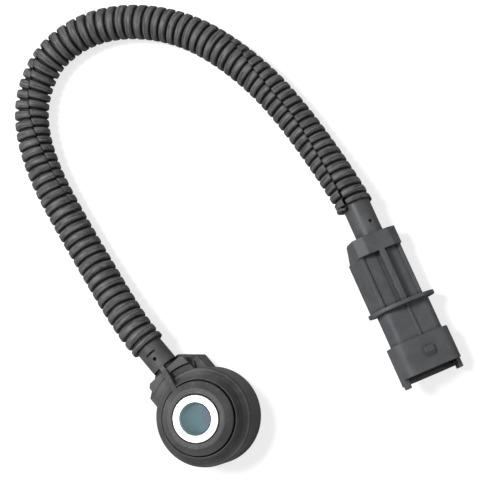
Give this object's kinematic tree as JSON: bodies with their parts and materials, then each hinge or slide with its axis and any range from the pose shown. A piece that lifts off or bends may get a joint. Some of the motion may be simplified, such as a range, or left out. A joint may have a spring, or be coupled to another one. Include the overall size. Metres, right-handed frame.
{
  "type": "engine knock sensor",
  "caption": "Ring-shaped vibration sensor for an engine block: steel sleeve with a bolt bore, moulded head, corrugated split lead and a flat pin connector",
  "frame": {"origin": "bore axis on the steel contact face", "axes": "+Z along the bore away from the engine block, +Y along the stub towards the lead"},
  "size_m": [0.0945, 0.1547, 0.02],
  "materials": {
    "zinc_steel": "bright zinc, turned",
    "insulator": "filled plastic film",
    "contact_brass": "stamped sheet",
    "piezo_ceramic": "fired, with a matt face",
    "mass_steel": "turned",
    "spring_steel": "tempered",
    "head_plastic": "moulded glass-filled polyamide",
    "resistor_body": "lacquered",
    "tinned_copper": "tinned strands",
    "core_white": "extruded",
    "core_black": "extruded",
    "jacket_rubber": "extruded, matt",
    "conduit_plastic": "corrugated polyamide",
    "connector_plastic": "moulded polyamide",
    "pin_tin": "tinned sheet"
  },
  "bodies": {
    "root": {"pressure_sleeve": "zinc_steel", "insulating_tube": "insulator", "lower_insulator": "insulator", "lower_contact": "contact_brass", "piezo_ring": "piezo_ceramic", "upper_contact": "contact_brass", "upper_insulator": "insulator", "seismic_mass": "mass_steel", "disc_spring": "spring_steel", "clamp_nut": "mass_steel", "head_housing": "head_plastic", "shunt_resistor": "resistor_body", "signal_splice": "tinned_copper", "ground_splice": "tinned_copper", "signal_wire": "tinned_copper", "ground_wire": "tinned_copper", "signal_insulation": "core_white", "ground_insulation": "core_black", "cable_jacket": "jacket_rubber", "conduit": "conduit_plastic", "connector_housing": "connector_plastic", "signal_pin": "pin_tin", "ground_pin": "pin_tin"}
  },
  "joints": []
}
